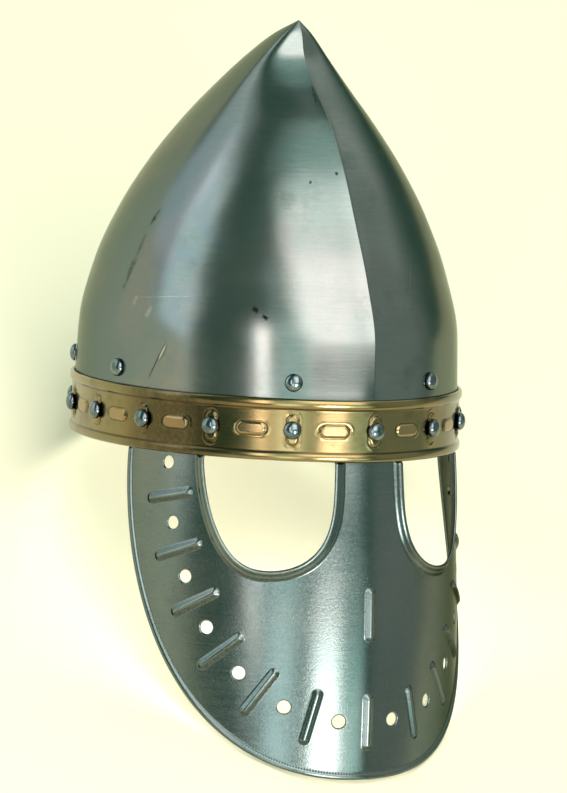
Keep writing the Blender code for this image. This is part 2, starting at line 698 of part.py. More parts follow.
def resting_lean(points):
    """How far the helmet leans back when its chin and the back of its band touch the ground."""
    low, high = 0.0, math.radians(80.0)
    front, back = points[points[:, 1] < 0.0], points[points[:, 1] >= 0.0]
    for _ in range(50):
        lean = (low + high) / 2.0
        chin = (front[:, 2] * math.cos(lean) - front[:, 1] * math.sin(lean)).min()
        nape = (back[:, 2] * math.cos(lean) - back[:, 1] * math.sin(lean)).min()
        low, high = (lean, high) if chin < nape else (low, lean)
    return lean


def stand(pieces):
    """Parent every piece to one empty and lean it to the resting pose, over the origin."""
    bpy.context.view_layer.update()
    points = np.array([piece.matrix_world @ v.co for piece in pieces for v in piece.data.vertices])
    lean = Matrix.Rotation(-resting_lean(points), 4, "X")
    leaned = points @ np.array(lean.to_3x3()).T
    low, high = leaned.min(axis=0), leaned.max(axis=0)
    holder = bpy.data.objects.new("helmet", None)
    bpy.context.scene.collection.objects.link(holder)
    for piece in pieces:
        piece.parent = holder
    holder.matrix_world = Matrix.Translation((0.0, -(low[1] + high[1]) / 2.0, -low[2])) @ lean


for old in list(bpy.data.objects):
    bpy.data.objects.remove(old, do_unlink=True)

stand([make_skull(), make_band(), make_mask(), *make_rivets()])
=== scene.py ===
import math

import bpy
import numpy as np
from mathutils import Matrix, Vector
from mathutils.geometry import delaunay_2d_cdt


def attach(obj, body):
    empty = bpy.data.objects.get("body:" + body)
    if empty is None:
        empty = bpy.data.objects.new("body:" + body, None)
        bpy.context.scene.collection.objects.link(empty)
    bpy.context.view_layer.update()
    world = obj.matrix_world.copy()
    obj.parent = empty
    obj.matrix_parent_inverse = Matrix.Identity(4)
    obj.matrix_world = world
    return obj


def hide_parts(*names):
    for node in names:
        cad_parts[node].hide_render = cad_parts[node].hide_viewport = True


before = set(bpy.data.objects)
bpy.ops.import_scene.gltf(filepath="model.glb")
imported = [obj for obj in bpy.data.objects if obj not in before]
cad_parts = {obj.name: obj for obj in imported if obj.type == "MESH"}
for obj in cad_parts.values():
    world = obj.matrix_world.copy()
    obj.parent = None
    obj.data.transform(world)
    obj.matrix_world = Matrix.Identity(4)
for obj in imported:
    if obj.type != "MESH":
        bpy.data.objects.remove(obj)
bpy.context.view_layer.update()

# Bowl.  One sheet of satin steel, raised to a point and creased along its front, with a short upright wall
# that slips behind the brow band.  Riveted to the band all round, and by seven rivets of its own.
HALF_WIDTH = 0.0970
FRONT_REACH = 0.1190
BACK_REACH = 0.1220
NOSE_SPREAD = 1.16
NOSE_ROUND = 0.95
BAND_HEIGHT = 0.0315
SKULL_OUTER = 0.0013
SKULL_WALL = 0.0015
SKULL_LIFT = 0.0020
BOWL_RISE = 0.1885
APEX_FORWARD = 0.0216
CENTRE_DRIFT = 1.5
FOOT_EASE = 0.12
RIDGE_PROUD = 0.0020
RIDGE_WIDTH = 0.0042
TIP_THICK = 0.0030
BOWL_ROWS = np.array([
    # rise, half_width, front_reach, back_reach, ridge
    (0.000, 1.000, 1.000, 1.000, 0.0),
    (0.150, 0.989, 0.977, 1.002, 0.6),
    (0.310, 0.922, 0.864, 0.967, 1.0),
    (0.470, 0.797, 0.705, 0.880, 1.0),
    (0.602, 0.643, 0.562, 0.784, 1.0),
    (0.725, 0.467, 0.392, 0.649, 1.0),
    (0.831, 0.305, 0.195, 0.472, 0.9),
    (0.910, 0.177, 0.080, 0.308, 0.6),
    (0.963, 0.084, 0.042, 0.161, 0.3),
    (1.000, 0.000, 0.000, 0.000, 0.0),
])
BROW_STEPS = 12000
LEAN = math.radians(34.107574)
STAND = (0.0, 0.0206724, 0.0685085)


def leaned(points, offset=STAND):
    """Helmet points, drawn with the band level, turned back about X by LEAN and set down on the floor."""
    x, y, z = np.moveaxis(np.asarray(points, float), -1, 0)
    turned = [x, y * math.cos(LEAN) + z * math.sin(LEAN), z * math.cos(LEAN) - y * math.sin(LEAN)]
    return np.stack(turned, axis=-1) + np.asarray(offset)


def section(turn, half_width, front, back):
    """x = half width * sin(turn) ^ spread and y = reach * cos(turn) ^ round, where both powers are 1 behind
    the ears, and the reach is front before them and back behind them."""
    sine, cosine = np.sin(turn), np.cos(turn)
    x = half_width * np.where(cosine > 0.0, np.abs(sine) ** NOSE_SPREAD, np.abs(sine)) * np.sign(sine)
    y = np.where(cosine > 0.0, -front * np.abs(cosine) ** NOSE_ROUND, back * np.abs(cosine))
    return np.stack([x, y], axis=-1)


BROW_TURNS = np.linspace(-math.pi, math.pi, BROW_STEPS + 1)
BROW = section(BROW_TURNS, HALF_WIDTH, FRONT_REACH, BACK_REACH)
BROW_ALONG = np.concatenate([[0.0], np.cumsum(np.linalg.norm(np.diff(BROW, axis=0), axis=1))])
BROW_LENGTH = BROW_ALONG[-1]
BROW_ALONG -= BROW_LENGTH / 2.0
BROW_RUN = np.gradient(BROW, axis=0)
BROW_RUN /= np.linalg.norm(BROW_RUN, axis=1)[:, None]
BROW_WAY = np.stack([BROW_RUN[:, 1], -BROW_RUN[:, 0]], axis=-1)


def on_brow(side, inset, height):
    """The point at length side from the nose along the brow line, moved in along its normal, at a height."""
    side = (np.asarray(side, float) + BROW_LENGTH / 2.0) % BROW_LENGTH - BROW_LENGTH / 2.0
    flat = [np.interp(side, BROW_ALONG, BROW[:, k]) - inset * np.interp(side, BROW_ALONG, BROW_WAY[:, k])
            for k in (0, 1)]
    return np.stack(np.broadcast_arrays(*flat, height), axis=-1)


def column(number, rise):
    """A column of the bowl's table at any rise, by cubic pieces whose slopes never overshoot."""
    known, value = BOWL_ROWS[:, 0], BOWL_ROWS[:, number]
    slope = np.diff(value) / np.diff(known)
    ahead, behind = slope[1:], slope[:-1]
    level = ahead * behind > 0.0
    middle = np.where(level, 2.0 * ahead * behind / np.where(level, ahead + behind, 1.0), 0.0)
    tangent = np.concatenate([[slope[0]], middle, [slope[-1]]])
    i = np.clip(np.searchsorted(known, rise, side="right") - 1, 0, len(slope) - 1)
    width = known[i + 1] - known[i]
    u = (rise - known[i]) / width
    return (value[i] * (1 + 2 * u) * (1 - u) ** 2 + tangent[i] * width * u * (1 - u) ** 2
            + value[i + 1] * u * u * (3 - 2 * u) - tangent[i + 1] * width * u * u * (1 - u))


def bowl_point(side, height):
    """Outer face: the brow's section scaled by the table, with a ridge that falls away as exp(-|x| / width).
    Near the band it eases into the brow line drawn in by the band's thickness, and below it stays there."""
    rise = np.clip((height - BAND_HEIGHT) / BOWL_RISE, 0.0, 1.0)
    turn = np.interp(side, BROW_ALONG, BROW_TURNS)
    half, front, back = HALF_WIDTH - SKULL_OUTER, FRONT_REACH - SKULL_OUTER, BACK_REACH - SKULL_OUTER
    foot = section(turn, half, front, back)
    from_ridge = np.abs(foot[..., 0] * column(1, rise))
    sunk = RIDGE_PROUD * column(4, rise) * (1.0 - np.exp(-from_ridge / RIDGE_WIDTH))
    flat = section(turn, half * column(1, rise), front * column(2, rise) - sunk, back * column(3, rise))
    flat[..., 1] -= APEX_FORWARD * rise ** CENTRE_DRIFT
    ease = np.clip(1.0 - rise / FOOT_EASE, 0.0, 1.0)[..., None] ** 2
    flat += (on_brow(side, SKULL_OUTER, height)[..., :2] - foot) * ease
    return np.concatenate([flat, np.broadcast_to(height, flat.shape[:-1])[..., None]], axis=-1)


def lattice(rows, columns, first=0):
    """Four-sided faces of a grid of points, numbered row by row, whose last column meets its first."""
    index = first + np.arange(rows * columns).reshape(rows, columns)
    index = np.concatenate([index, index[:, :1]], axis=1)
    low, high = index[:-1], index[1:]
    return np.stack([low[:, :-1], low[:, 1:], high[:, 1:], high[:, :-1]], axis=-1).reshape(-1, 4)


def joined(low, high):
    """Four-sided faces from one closed row of points to the next."""
    return np.stack([low, np.roll(low, -1), np.roll(high, -1), high], axis=-1)


def fan(ring_index, centre):
    """Three-sided faces from a closed row of points to one point."""
    return np.stack([ring_index, np.roll(ring_index, -1), np.full(len(ring_index), centre)], axis=-1)


def add_piece(name, points, face_sets, lay, nodes, normals=None):
    """A mesh from arrays of points and faces, with its lay kept for its material: side along the brow, height
    and detail, from -1 pale (bare or worn, in places a painted highlight) to 1 dark (painted shade, with some
    grime and tarnish).  A face across the nape, where side starts again, counts past it."""
    mesh = bpy.data.meshes.new(name)
    corners = np.concatenate([f.ravel() for f in face_sets]).astype(np.int32)
    sizes = np.concatenate([np.full(len(f), f.shape[1]) for f in face_sets])
    starts = np.cumsum(sizes) - sizes
    mesh.vertices.add(len(points))
    mesh.vertices.foreach_set("co", leaned(points).astype(np.float32).ravel())
    mesh.loops.add(len(corners))
    mesh.loops.foreach_set("vertex_index", corners)
    mesh.polygons.add(len(sizes))
    mesh.polygons.foreach_set("loop_start", starts.astype(np.int32))
    mesh.update(calc_edges=True)
    mesh.shade_smooth()
    corner_lay = lay[corners].astype(np.float32)
    side = corner_lay[:, 0]
    spread = np.maximum.reduceat(side, starts) - np.minimum.reduceat(side, starts)
    side[np.repeat(spread > BROW_LENGTH / 2.0, sizes) & (side < 0.0)] += BROW_LENGTH
    mesh.attributes.new("lay", "FLOAT_VECTOR", "CORNER").data.foreach_set("vector", corner_lay.ravel())
    if normals is not None:
        mesh.normals_split_custom_set_from_vertices(leaned(normals, (0.0, 0.0, 0.0)))
    piece = bpy.data.objects.new(name, mesh)
    bpy.context.scene.collection.objects.link(piece)
    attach(piece, "root")
    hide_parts(*nodes)
    return piece


class Knob:
    """A number that comes out of a node.  A sum, difference or product of knobs adds its own Math node."""

    def __init__(self, finish, socket):
        self.finish, self.socket = finish, socket

    def maths(self, operation, *values):
        return self.finish.node("Math", {"operation": operation}, dict(enumerate(values)))

    def __add__(self, other):
        return self.maths("ADD", self, other)

    def __sub__(self, other):
        return self.maths("SUBTRACT", self, other)

    def __rsub__(self, other):
        return self.maths("SUBTRACT", other, self)

    def __mul__(self, other):
        return self.maths("MULTIPLY", self, other)

    __radd__ = __add__
    __rmul__ = __mul__


class Finish:
    """A metal finish: one Principled shader, whose constants are set on its sockets."""

    def __init__(self, name, **constants):
        self.material = bpy.data.materials.new(name)
        self.material.use_nodes = True
        self.tree = self.material.node_tree
        self.shader = self.tree.nodes["Principled BSDF"]
        for socket, value in {"Metallic": 1.0, **constants}.items():
            self.shader.inputs[socket].default_value = value
        self.place = self.node("TexCoord", output="Object")
        self.lay = self.node("Attribute", {"attribute_name": "lay"}, output="Vector")
        self.side, self.height, self.detail = (self.node("SeparateXYZ", {}, {0: self.lay}, output=axis)
                                               for axis in range(3))

    def node(self, kind, settings=None, inputs=None, output=0):
        """Add a node of a kind, set it, feed its sockets with values or knobs, and give one output."""
        made = self.tree.nodes.new("ShaderNode" + kind)
        for key, value in (settings or {}).items():
            setattr(made, key, value)
        for key, value in (inputs or {}).items():
            if isinstance(value, Knob):
                self.tree.links.new(value.socket, made.inputs[key])
            else:
                made.inputs[key].default_value = value
        return Knob(self, made.outputs[output])

    def noise(self, scale, detail=3.0, roughness=0.55, stretch=None, shift=(0.0, 0.0, 0.0)):
        """Cloudy numbers round 0.5; with stretch they follow the sheet's own side and height."""
        place = self.place if stretch is None else self.lay
        stretch = stretch or (1.0, 1.0, 1.0)
        mapped = self.node("Mapping", {}, {"Vector": place, "Scale": stretch, "Location": shift})
        return self.node("TexNoise", {}, {"Vector": mapped, "Scale": scale, "Detail": detail,
                                          "Roughness": roughness})

    def ramp(self, value, low, high):
        """0 below low and 1 above high, eased between them."""
        return self.node("MapRange", {"interpolation_type": "SMOOTHSTEP"}, {0: value, 1: low, 2: high})

    def mix(self, share, first, second):
        """A colour between two colours."""
        return self.node("Mix", {"data_type": "RGBA"}, {0: share, 6: first, 7: second}, output=2)

    def feed(self, **sockets):
        """Link knobs to the shader's sockets, whose spaces are written as underscores."""
        for name, knob in sockets.items():
            self.tree.links.new(knob.socket, self.shader.inputs[name.replace("_", " ")])

    def marked(self, tone, marks):
        """The tone with soft streaks, each centred at a side and height, turned from level and more or less
        ragged."""
        wander, broken = self.noise(90.0) - 0.5, self.ramp(self.noise(420.0, 4.0, 0.7), 0.36, 0.56)
        for side, height, length, width, turn, strength, ragged, colour in marks:
            across, up = self.side - side, self.height - height
            along = across * math.cos(turn) + up * math.sin(turn)
            off = up * math.cos(turn) - across * math.sin(turn) + wander * (1.6 * width)
            inside = self.ramp(off * off, width * width, 0.0)
            inside = inside * self.ramp(along * along, length * length / 4.0, 0.0)
            share = inside * (1.0 - ragged + ragged * broken) * strength
            tone = self.mix(share, tone, rgb(*colour))
        return tone

    def bump(self, height, distance, strength=1.0, normal=None):
        """A bump whose height is in shares of distance."""
        inputs = {"Height": height, "Distance": distance, "Strength": strength}
        return self.node("Bump", {}, inputs if normal is None else {**inputs, "Normal": normal})


def rgb(*values):
    """A colour for a socket."""
    return (*values, 1.0)


def steel(name, cool, warm, dark, roughness, grain, edge_tint, marks=()):
    """Satin steel: cool and warm clouds, faint brushing along the sheet, painted shade with some grime where
    the detail is dark, pale worn edges that are also a painted highlight, a fine grain, and the given marks."""
    finish = Finish(name, **{"Specular Tint": rgb(*edge_tint)})
    cloud = finish.noise(11.0, 5.0, 0.6)
    smudge = finish.noise(34.0, 6.0, 0.65, shift=(0.3, 0.1, 0.7))
    brushed = finish.noise(1.0, 3.0, 0.6, stretch=(38.0, 900.0, 1.0))
    fine = finish.noise(1100.0, 2.0, 0.6)
    tone = finish.mix(finish.ramp(cloud, 0.38, 0.64), rgb(*cool), rgb(*warm))
    tone = finish.mix(finish.ramp(smudge, 0.56, 0.74) * 0.55, tone, rgb(*dark))
    # Painted shade, with some grime and tarnish, where the detail is high.
    tone = finish.mix(finish.ramp(finish.detail, 0.35, 1.0) * 0.75, tone, rgb(*(0.35 * c for c in dark)))
    # Pale worn crests, also a painted highlight, where the detail is low.
    tone = finish.mix(finish.ramp(-1.0 * finish.detail, 0.15, 0.9) * 0.7, tone, rgb(*(2.4 * c for c in warm)))
    tone = finish.mix(finish.ramp(fine, 0.3, 0.7) * grain * 0.5, tone, rgb(*(1.5 * c for c in warm)))
    tone = finish.mix(finish.ramp(brushed, 0.42, 0.70) * 0.16, tone, rgb(*(1.35 * c for c in warm)))
    tone = finish.marked(tone, marks) if marks else tone
    rough = roughness + 0.16 * (smudge - 0.5) + 0.05 * (brushed - 0.5) + 0.20 * (fine - 0.5) * grain
    relief = finish.bump(finish.noise(16.0, 2.0, 0.4), 0.0012, 0.10)
    relief = finish.bump(brushed, 0.00006, 0.10, relief)
    finish.feed(Base_Color=tone, Roughness=rough, Normal=finish.bump(fine, 0.00005, grain, relief))
    return finish


# Two wide bluish hazes, a painted cool reflection on the lower sides, two rosy smears, and the scratches,
# stains and specks that the bowl's front shows.
PALE, DARK, BLACK = (0.42, 0.41, 0.38), (0.030, 0.040, 0.040), (0.006, 0.008, 0.008)
ROSY, COOL_REFLECTION = (0.225, 0.200, 0.205), (0.140, 0.180, 0.205)
BOWL_MARKS = (
    # side, height, length, width, turn, strength, ragged, colour
    (-0.1620, 0.0850, 0.2200, 0.0640, 1.35, 0.80, 0.20, COOL_REFLECTION),
    (0.1500, 0.0850, 0.2200, 0.0700, 1.75, 0.60, 0.20, COOL_REFLECTION),
    (-0.1420, 0.0860, 0.0900, 0.0200, 1.30, 0.55, 0.60, ROSY),
    (-0.1240, 0.1250, 0.0700, 0.0140, 1.20, 0.50, 0.60, ROSY),
    (-0.1536, 0.1170, 0.0110, 0.0020, 1.25, 0.75, 0.80, DARK),
    (-0.1528, 0.1165, 0.0070, 0.0016, -0.20, 0.70, 0.80, DARK),
    (-0.1552, 0.1020, 0.0150, 0.0026, 1.50, 0.55, 0.90, DARK),
    (-0.1568, 0.0905, 0.0130, 0.0034, 1.35, 0.70, 0.70, DARK),
    (-0.1585, 0.0830, 0.0100, 0.0014, 1.25, 0.70, 0.60, DARK),
    (-0.1180, 0.0500, 0.0125, 0.0019, 1.06, 0.95, 0.20, DARK),
    (-0.1180, 0.0500, 0.0110, 0.0009, 1.06, 1.00, 0.10, PALE),
    (-0.1232, 0.0424, 0.0190, 0.0006, 1.06, 0.90, 0.40, DARK),
    (-0.1444, 0.0749, 0.0060, 0.0020, 1.20, 0.45, 0.80, PALE),
    (-0.1312, 0.0696, 0.0090, 0.0022, 1.00, 0.40, 0.80, PALE),
    (-0.1220, 0.0780, 0.0520, 0.0003, 0.08, 0.40, 0.80, PALE),
    (-0.0633, 0.0752, 0.0046, 0.0016, -0.60, 1.00, 0.50, BLACK),
    (-0.0579, 0.0715, 0.0040, 0.0013, -0.60, 1.00, 0.50, BLACK),
    (-0.0278, 0.1388, 0.0026, 0.0010, 0.30, 0.95, 0.50, BLACK),
    (-0.0062, 0.1433, 0.0030, 0.0010, 0.10, 0.95, 0.50, BLACK),
    (-0.0055, 0.1820, 0.0130, 0.0016, 1.14, 0.70, 1.00, DARK),
    (0.0350, 0.0900, 0.0300, 0.0003, 1.10, 0.40, 0.80, PALE),
)

# Columns stand closer the nearer they are to the ridge, and rings the nearer they are to the tip.
CROWDED_LENGTH = 0.0156
HALF_COLUMNS = 110
FOOT_RINGS = 6
BOWL_RINGS = 100
TIP_CROWDING = 1.3
share_out = np.linspace(0.0, 1.0, HALF_COLUMNS + 1)
skull_sides = CROWDED_LENGTH * np.sinh(share_out * np.arcsinh(BROW_LENGTH / 2.0 / CROWDED_LENGTH))
skull_sides = np.concatenate([-skull_sides[:0:-1], skull_sides[:-1]])
share_up = 1.0 - (1.0 - np.arange(BOWL_RINGS) / BOWL_RINGS) ** TIP_CROWDING
skull_heights = np.concatenate([np.linspace(SKULL_LIFT, BAND_HEIGHT, FOOT_RINGS + 1)[:-1],
                                BAND_HEIGHT + BOWL_RISE * share_up])
side_grid, height_grid = np.meshgrid(skull_sides, skull_heights)
outside = bowl_point(side_grid, height_grid)
step_side = np.roll(outside, -1, axis=1) - np.roll(outside, 1, axis=1)
skull_way = np.cross(step_side, np.gradient(outside, axis=0))
skull_way /= np.linalg.norm(skull_way, axis=-1)[..., None]
inside = outside - SKULL_WALL * skull_way
inside[skull_heights <= BAND_HEIGHT, :, 2] = height_grid[skull_heights <= BAND_HEIGHT]
TIP_HEIGHT = BAND_HEIGHT + BOWL_RISE
tips = [(0.0, -APEX_FORWARD, TIP_HEIGHT), (0.0, -APEX_FORWARD, TIP_HEIGHT - TIP_THICK)]
rows, columns = outside.shape[:2]
count = rows * columns
skull_points = np.concatenate([outside.reshape(-1, 3), inside.reshape(-1, 3), tips])
low_row = np.arange(columns)
top_row = low_row + count - columns
rim = joined(low_row + count, low_row)
skull_lay = np.stack([side_grid.ravel(), height_grid.ravel(), np.zeros(count)], axis=-1)
skull_lay = np.concatenate([skull_lay, skull_lay, [(0.0, TIP_HEIGHT, 0.0)] * 2])
skull_faces = [lattice(rows, columns), lattice(rows, columns, count)[:, ::-1], rim,
               fan(top_row, 2 * count), fan(top_row + count, 2 * count + 1)[:, ::-1]]
skull = add_piece("bowl", skull_points, skull_faces, skull_lay, ["skull"])
skull.data.materials.append(steel(
    "bowl_steel", cool=(0.150, 0.185, 0.178), warm=(0.200, 0.200, 0.194), dark=(0.09, 0.115, 0.10),
    roughness=0.21, grain=0.20, edge_tint=(0.55, 0.57, 0.50), marks=BOWL_MARKS).material)

# Brow band.  A strip of thin brass, with a half-round bead along each edge and a row of raised bars, upright
# under each rivet and level between them.  Pressed from behind, then riveted over the bowl's foot.
BAND_WALL = 0.0010
TOP_BEAD = (0.0052, 0.0012)
LOW_BEAD = (0.0045, 0.0010)
RIVET_COUNT = 16
BOSS_LENGTH = 0.0186
BOSS_WIDTH = 0.0072
PAD_LENGTH = 0.0152
PAD_WIDTH = 0.0060
BOSS_PROUD = 0.0010
PAD_SHOULDER = 0.0006
GROOVE_AWAY = 0.00035
GROOVE_WIDTH = 0.00040
GROOVE_DEPTH = 0.00030
KERB_WIDTH = 0.00035
KERB_PROUD = 0.00025
PAD_SHINE_EDGE = 0.0002
UPRIGHT_SHINE = 0.35
BEAD_SHADE_WIDTH = 0.0007
RIVET_STEP = BROW_LENGTH / RIVET_COUNT
BAND_COLUMNS = RIVET_COUNT * 66
BAND_ROWS = 57
BACK_ROWS = np.array([0.99, 0.66, 0.33, 0.01])


def half_round(away, width):
    """A bead's height as a share, sqrt(1 - u * u), where u runs from -1 to 1 over its width."""
    return np.sqrt(np.clip(1.0 - (2.0 * away / width - 1.0) ** 2, 0.0, 1.0))


def bar_distance(side, height, length, width):
    """Distance outside a level bar with round ends; less than nothing inside it."""
    beyond = np.maximum(np.abs(side) - (length - width) / 2.0, 0.0)
    return np.hypot(beyond, height) - width / 2.0


def band_relief(side, height):
    """How far the band's outer face stands out: edge beads, bars with a rounded shoulder, and round each bar
    a groove and a low kerb, both exp(-(distance / width) ^ 2).  Also the shares of groove and of bare bar."""
    low = LOW_BEAD[1] * half_round(height, LOW_BEAD[0])
    top = TOP_BEAD[1] * half_round(BAND_HEIGHT - height, TOP_BEAD[0])
    along = (side / RIVET_STEP + 0.5) % 1.0 * RIVET_STEP - RIVET_STEP / 2.0
    between = (side / RIVET_STEP) % 1.0 * RIVET_STEP - RIVET_STEP / 2.0
    up = height - BAND_HEIGHT / 2.0
    pad, edge = (np.minimum(bar_distance(up, along, length, width), bar_distance(between, up, length, width))
                 for length, width in ((PAD_LENGTH, PAD_WIDTH), (BOSS_LENGTH, BOSS_WIDTH)))
    shoulder = np.clip(-pad / PAD_SHOULDER, 0.0, 1.0)
    raised = BOSS_PROUD * (1.0 - (1.0 - shoulder) ** 2)
    groove = np.exp(-((pad - GROOVE_AWAY) / GROOVE_WIDTH) ** 2)
    kerb = np.exp(-(edge / KERB_WIDTH) ** 2)
    upright = np.abs(along) < RIVET_STEP / 4.0
    shine = np.clip(-pad / PAD_SHINE_EDGE, 0.0, 1.0) * np.where(upright, UPRIGHT_SHINE, 1.0)
    return np.maximum(low, top) + raised - GROOVE_DEPTH * groove + KERB_PROUD * kerb, groove, shine


band_sides = (np.arange(BAND_COLUMNS) / BAND_COLUMNS - 0.5) * BROW_LENGTH
side_grid, height_grid = np.meshgrid(band_sides, np.linspace(0.0, BAND_HEIGHT, BAND_ROWS))
relief, groove, shine = band_relief(side_grid, height_grid)
outer = on_brow(side_grid, -relief, height_grid)
back_side, back_height = np.meshgrid(band_sides, BACK_ROWS * BAND_HEIGHT)
inner = on_brow(back_side, BAND_WALL, back_height)
band_points = np.concatenate([outer, inner]).reshape(-1, 3)
rows, columns = BAND_ROWS + len(BACK_ROWS), BAND_COLUMNS
seam = joined(np.arange(columns) + (rows - 1) * columns, np.arange(columns))
# The grooves round the bars and the creases beside the beads are darkened: a painted shade.
beside_beads = (np.exp(-((height_grid - LOW_BEAD[0]) / BEAD_SHADE_WIDTH) ** 2)
                + np.exp(-((BAND_HEIGHT - TOP_BEAD[0] - height_grid) / BEAD_SHADE_WIDTH) ** 2))
band_detail = np.clip(groove + beside_beads, 0.0, 1.0) - shine
band_lay = np.stack([side_grid, height_grid, band_detail], axis=-1)
back_lay = np.stack([back_side, back_height, np.zeros_like(back_side)], axis=-1)
band_lay = np.concatenate([band_lay, back_lay]).reshape(-1, 3)
band = add_piece("band", band_points, [lattice(rows, columns), seam], band_lay, ["brow_band"])

# Three brown patches, a painted dark reflection as much as tarnish, under the same brushed brass.
DARK_REFLECTION_TARNISH = (0.050, 0.042, 0.024)
BAND_MARKS = (
    # side, height, length, width, turn, strength, ragged, colour
    (-0.1060, 0.0150, 0.0900, 0.0340, 0.00, 0.86, 0.20, DARK_REFLECTION_TARNISH),
    (0.0850, 0.0150, 0.1000, 0.0340, 0.00, 0.66, 0.20, DARK_REFLECTION_TARNISH),
    (-0.2700, 0.0140, 0.0500, 0.0260, 0.00, 0.50, 0.40, DARK_REFLECTION_TARNISH),
)
brass = Finish("brow_brass")
cloud = brass.noise(13.0, 5.0, 0.6)
smudge = brass.noise(60.0, 6.0, 0.65)
brushed = brass.noise(1.0, 3.0, 0.6, stretch=(30.0, 1100.0, 1.0))
fine = brass.noise(1400.0, 2.0, 0.6)
gold = brass.mix(brass.ramp(cloud, 0.36, 0.66), rgb(0.205, 0.170, 0.082), rgb(0.27, 0.185, 0.085))
gold = brass.mix(brass.ramp(smudge, 0.52, 0.74) * 0.6, gold, rgb(0.11, 0.080, 0.038))
# The brown patches paint a dark reflection on the band, as much as tarnish.
gold = brass.marked(gold, BAND_MARKS)
gold = brass.mix(brass.ramp(-1.0 * brass.detail, 0.2, 0.9) * 0.55, gold, rgb(0.38, 0.25, 0.13))
# Painted shade in the grooves round the bars and beside the beads.
gold = brass.mix(brass.ramp(brass.detail, 0.25, 0.95) * 0.85, gold, rgb(0.05, 0.03, 0.012))
rough = 0.20 + 0.22 * (smudge - 0.5) + 0.12 * (brushed - 0.5)
relief_bump = brass.bump(brass.noise(28.0, 2.0, 0.4), 0.0008, 0.10)
relief_bump = brass.bump(brushed, 0.00006, 0.1, relief_bump)
brass.feed(Base_Color=gold, Roughness=rough, Normal=brass.bump(fine, 0.00004, 0.2, relief_bump))
band.data.materials.append(brass.material)

# Face plate.  A steel sheet cut with two eye openings and a row of round holes, and bent round the brow.
# Its eye edges are turned out to a lip, its outer edge is rolled, and ribs are pressed between the holes.
MASK_WALL = 0.0015
MASK_OUTER = 0.0031
MASK_HALF = 0.1420
MASK_DROP = 0.1614
MASK_SIDE_POWER = 2.41
MASK_DROP_POWER = 1.59
MASK_LAP = 0.0255
MASK_BULGE = 0.0075
BULGE_DROP = 0.1450
ROLL_WIDTH = 0.0036
ROLL_PROUD = 0.0011
ROLL_START = 0.0003
ROLL_INSIDE = 0.6
EYE_SIDE = 0.0525
EYE_TO_NOSE = 0.0322
EYE_TO_TEMPLE = 0.0368
EYE_DROP = 0.0557
EYE_TOP = 0.0060
NOSE_SIDE_POWERS = (2.00, 3.90)
TEMPLE_SIDE_POWERS = (2.44, 1.45)
LIP_PROUD = 0.0026
LIP_FADE = 0.0013
LIP_PROFILE = np.array([
    # away, share
    (-0.0010, 0.55),
    (0.0000, 0.80),
    (0.0008, 1.00),
    (0.0016, 0.92),
    (0.0024, 0.66),
    (0.0032, 0.54),
    (0.0042, 0.40),
    (0.0052, 0.10),
    (0.0060, 0.00),
])
# Crests of the lips, the roll and the ribs are made paler: wear, and also a painted highlight.
WORN_HIGHLIGHT_ROWS = (
    # beside, distance, width, share
    ("eyes", 0.0007, 0.0008, 1.0),
    ("edge", 0.0016, 0.0007, 1.0),
    ("ribs", 0.0000, 0.2500, 0.8),
)
# Creases beside the ribs, the lips and the roll are darkened: painted shade, with some grime.
CREASE_SHADE_ROWS = (
    # beside, distance, width, share
    ("ribs", 0.9500, 0.3000, 1.0),
    ("eyes", 0.0055, 0.0008, 1.0),
    ("edge", 0.0036, 0.0005, 0.8),
    ("eyes", 0.0026, 0.0005, 0.6),
)
AGED_SHARE = 0.62
AGED_WIDTH = 0.020
ROW_INSET = 0.0295
ROW_PITCH = 0.0141
HOLE_RADIUS = 0.0033
TOP_HOLE_DROP = 0.0055
RIB_PAIRS = 6
RIB_LENGTH = 0.0290
RIB_WIDTH = 0.0054
RIB_PROUD = 0.0017
CAP_POINTS = 7
RIB_CREST = 0.2
RIB_FOOT = 0.82
NOSE_RIB = (0.0773, 0.0274)
EDGE_ROUND = MASK_WALL / 2.0
EDGE_STEPS = 7
EDGE_POINTS, EYE_POINTS = 600, 500
CURVE_STEP = 0.0010
EDGE_LINE_STEP = 0.0016
EYE_LINE_STEP = 0.0012


def evenly(points, step):
    """The same line with its points about step apart, its two ends kept."""
    points = np.asarray(points, float)
    along = np.concatenate([[0.0], np.cumsum(np.linalg.norm(np.diff(points, axis=0), axis=1))])
    wanted = np.linspace(0.0, along[-1], max(3, int(round(along[-1] / step)) + 1))
    return np.stack([np.interp(wanted, along, points[:, k]) for k in (0, 1)], axis=-1)


def beside(points, distance):
    """The line moved distance to its left."""
    way = np.gradient(points, axis=0)
    way /= np.linalg.norm(way, axis=1)[:, None]
    return points + distance * np.stack([-way[:, 1], way[:, 0]], axis=-1)


def away_from(places, line):
    """Distance of each place from the nearest piece of a line."""
    start, run = line[:-1], np.diff(line, axis=0)
    gap = places[:, None, :] - start[None]
    share = np.clip((gap * run).sum(-1) / np.maximum((run * run).sum(-1), 1e-18), 0.0, 1.0)
    return np.linalg.norm(gap - share[..., None] * run, axis=-1).min(axis=1)


def mask_edge(inset=0.0):
    """Outer edge: |side / half| ^ side power + (drop / full drop) ^ drop power = 1, with straight laps."""
    turn = np.linspace(0.0, math.pi / 2.0, EDGE_POINTS)
    half = np.stack([MASK_HALF * np.cos(turn) ** (2.0 / MASK_SIDE_POWER),
                     -MASK_DROP * np.sin(turn) ** (2.0 / MASK_DROP_POWER)], axis=-1)
    half = np.concatenate([[(MASK_HALF, MASK_LAP)], half])
    line = np.concatenate([half * (-1.0, 1.0), half[::-1][1:]])
    return beside(evenly(line, CURVE_STEP), inset)


